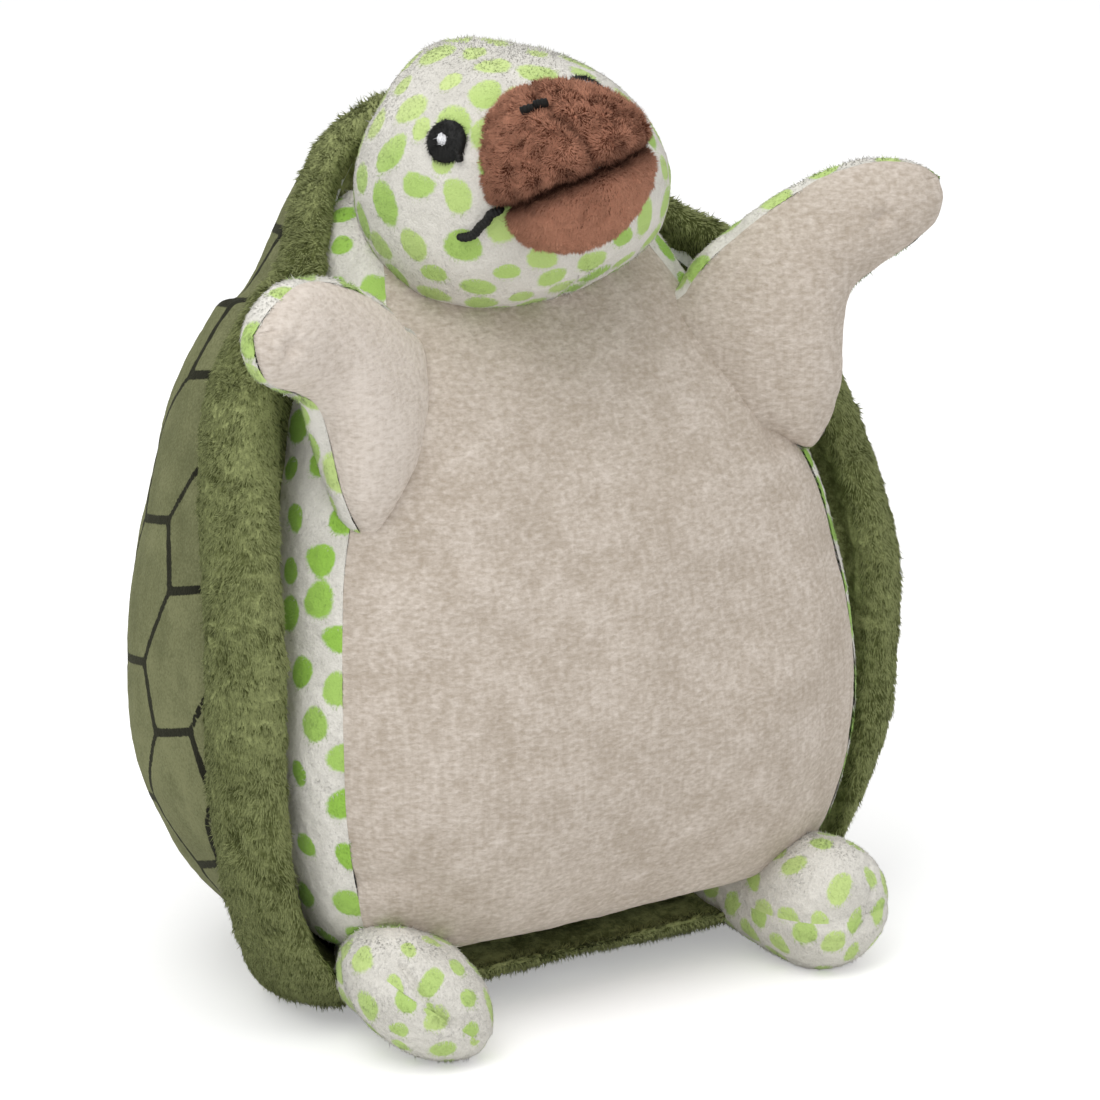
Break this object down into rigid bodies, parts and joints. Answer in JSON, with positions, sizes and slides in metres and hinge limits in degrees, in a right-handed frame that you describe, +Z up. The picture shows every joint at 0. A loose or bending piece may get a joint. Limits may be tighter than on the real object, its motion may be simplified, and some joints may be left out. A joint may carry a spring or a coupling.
{
  "type": "plush turtle",
  "caption": "Stuffed plush turtle sitting upright, with a padded shell rim and domed back, spotted limbs, a cream belly and a round head with a soft beak.",
  "frame": {"origin": "on the surface that the turtle sits on, in the middle of the flat underside of the shell rim", "axes": "+Z up, the belly and beak face -Y, the turtle's own left side is on +X"},
  "size_m": [0.1508, 0.1026, 0.175],
  "materials": {
    "olive_velour": "long-pile olive green plush",
    "olive_print": "short-pile olive velour with printed dark plate lines",
    "cream_velour": "short-pile cream velour",
    "spotted_velour": "white velour with printed light green spots",
    "brown_fleece": "brown brushed fleece",
    "calico": "plain unbleached woven cotton, hidden inside",
    "stuffing": "loose white polyester fibre",
    "pellets": "small polyethylene pellets"
  },
  "bodies": {
    "torso": {"shell_rim_cover": "olive_velour", "carapace_panel": "olive_print", "shell_rim_fill": "stuffing", "shell_lining": "calico", "carapace_fill": "stuffing", "belly_panel": "cream_velour", "side_gusset_left": "spotted_velour", "side_gusset_right": "spotted_velour", "torso_back_panel": "calico", "torso_fill": "stuffing", "pouch_cover": "calico", "pellet_fill": "pellets"},
    "neck": {"neck_fill": "stuffing"},
    "head": {"head_cover_left": "spotted_velour", "head_cover_right": "spotted_velour", "head_fill": "stuffing", "beak_upper_left": "brown_fleece", "beak_upper_right": "brown_fleece", "beak_lower": "brown_fleece", "beak_fill": "stuffing"},
    "flipper_left": {"flipper_palm_left": "cream_velour", "flipper_back_left": "spotted_velour", "flipper_fill_left": "stuffing"},
    "foot_left": {"foot_top_left": "spotted_velour", "foot_sole_left": "spotted_velour", "foot_fill_left": "stuffing"},
    "flipper_right": {"flipper_palm_right": "cream_velour", "flipper_back_right": "spotted_velour", "flipper_fill_right": "stuffing"},
    "foot_right": {"foot_top_right": "spotted_velour", "foot_sole_right": "spotted_velour", "foot_fill_right": "stuffing"}
  },
  "joints": [
    {"name": "head_turn", "type": "hinge", "parent": "torso", "child": "neck", "pos_m": [-0.0025, -0.0068, 0.1494], "axis": [0, 0, 1], "range_deg": [-20, 20], "stiffness_Nm_per_rad": 0.05},
    {"name": "head_nod", "type": "hinge", "parent": "neck", "child": "head", "pos_m": [-0.0025, -0.0068, 0.1494], "axis": [0.9632, -0.2689, 0], "range_deg": [-10, 10], "stiffness_Nm_per_rad": 0.05},
    {"name": "flipper_left_flap", "type": "hinge", "parent": "torso", "child": "flipper_left", "pos_m": [0.03642, -0.01912, 0.11165], "axis": [-0.421, 0.359, 0.833], "range_deg": [-30, 15], "stiffness_Nm_per_rad": 0.03},
    {"name": "flipper_right_flap", "type": "hinge", "parent": "torso", "child": "flipper_right", "pos_m": [-0.03633, -0.01909, 0.1116], "axis": [-0.3531, -0.3371, -0.8727], "range_deg": [-30, 15], "stiffness_Nm_per_rad": 0.03},
    {"name": "foot_left_lift", "type": "hinge", "parent": "torso", "child": "foot_left", "pos_m": [0.0395, -0.023, 0.012], "axis": [-0.9703, -0.2419, 0], "range_deg": [-12, 12], "stiffness_Nm_per_rad": 0.03},
    {"name": "foot_right_lift", "type": "hinge", "parent": "torso", "child": "foot_right", "pos_m": [-0.0395, -0.023, 0.012], "axis": [-0.9703, 0.2419, 0], "range_deg": [-12, 12], "stiffness_Nm_per_rad": 0.03}
  ]
}
